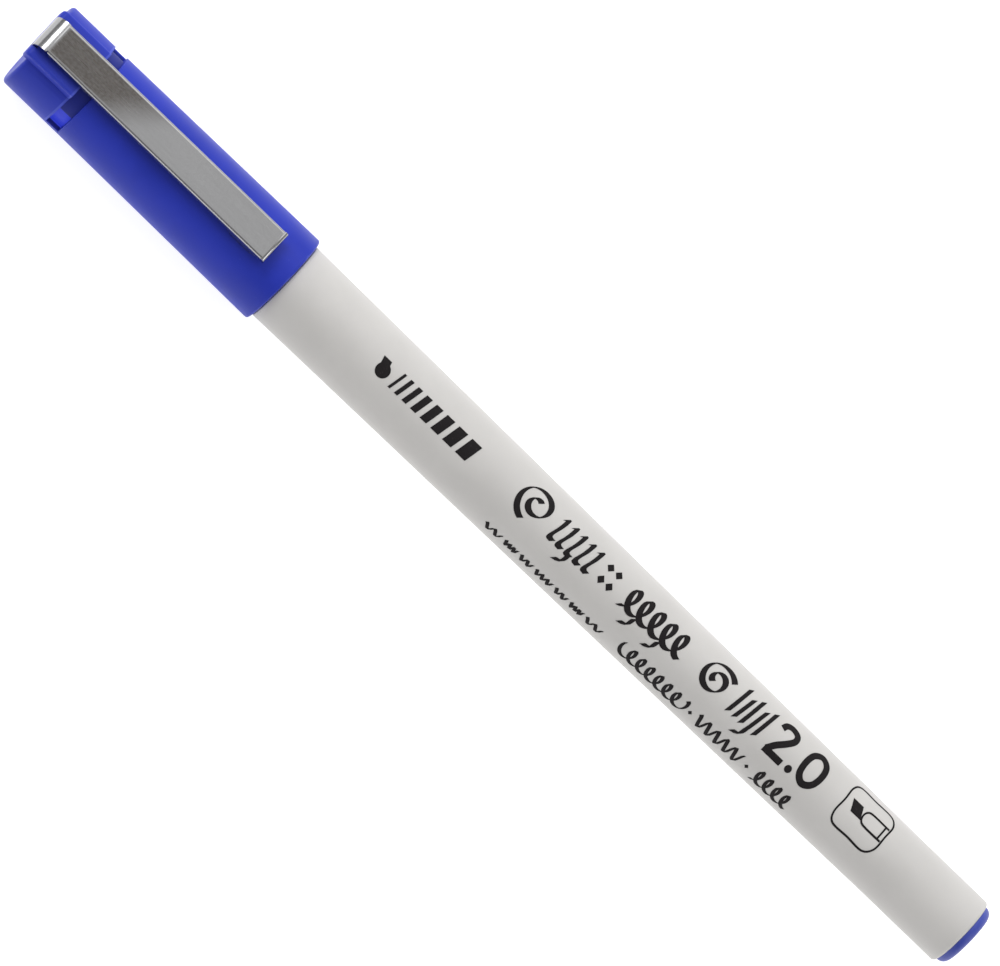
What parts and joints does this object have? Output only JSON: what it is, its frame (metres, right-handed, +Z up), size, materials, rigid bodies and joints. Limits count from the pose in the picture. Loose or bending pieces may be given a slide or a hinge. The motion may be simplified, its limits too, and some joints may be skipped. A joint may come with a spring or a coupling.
{
  "type": "calligraphy marker",
  "caption": "Capped chisel-tip marker: slim tapered barrel, pull-off cap with a sprung channel clip, pressed-in tail plug, fibre nib and ink rod inside.",
  "frame": {"origin": "under the middle of the pen's length, level with the cap's lowest line", "axes": "X runs along the pen from the cap's crown (-X) to the tail plug (+X), +Z is up with the clip on top, Y runs across the pen"},
  "size_m": [0.138, 0.0112, 0.013],
  "materials": {
    "barrel_plastic": "satin light warm grey, moulded",
    "cap_plastic": "satin deep blue, moulded, slightly translucent at thin walls",
    "plug_plastic": "satin blue, moulded",
    "liner_plastic": "brighter translucent blue, moulded",
    "holder_plastic": "satin light grey, moulded",
    "clip_steel": "bright nickel-plated spring steel, stamped",
    "nib_fibre": "bonded fibre, wet with dark blue ink",
    "reservoir_fibre": "soft fibre soaked with ink",
    "reservoir_film": "thin clear film"
  },
  "bodies": {
    "pen": {"barrel": "barrel_plastic", "tail_plug": "plug_plastic", "front_section": "holder_plastic", "nib": "nib_fibre", "reservoir_core": "reservoir_fibre", "reservoir_wrap": "reservoir_film"},
    "cap": {"cap_shell": "cap_plastic", "cap_crown": "cap_plastic", "inner_cap": "liner_plastic"},
    "pocket_clip": {"clip": "clip_steel"}
  },
  "joints": [
    {"name": "cap_pull", "type": "slide", "parent": "pen", "child": "cap", "axis": [-1, 0, 0], "range_m": [0, 0.04]},
    {"name": "clip_flex", "type": "hinge", "parent": "cap", "child": "pocket_clip", "pos_m": [-0.0687, 0, 0.01038], "axis": [0, -1, 0], "range_deg": [0, 5.5], "stiffness_Nm_per_rad": 1.5, "springref_deg": -1.15}
  ]
}
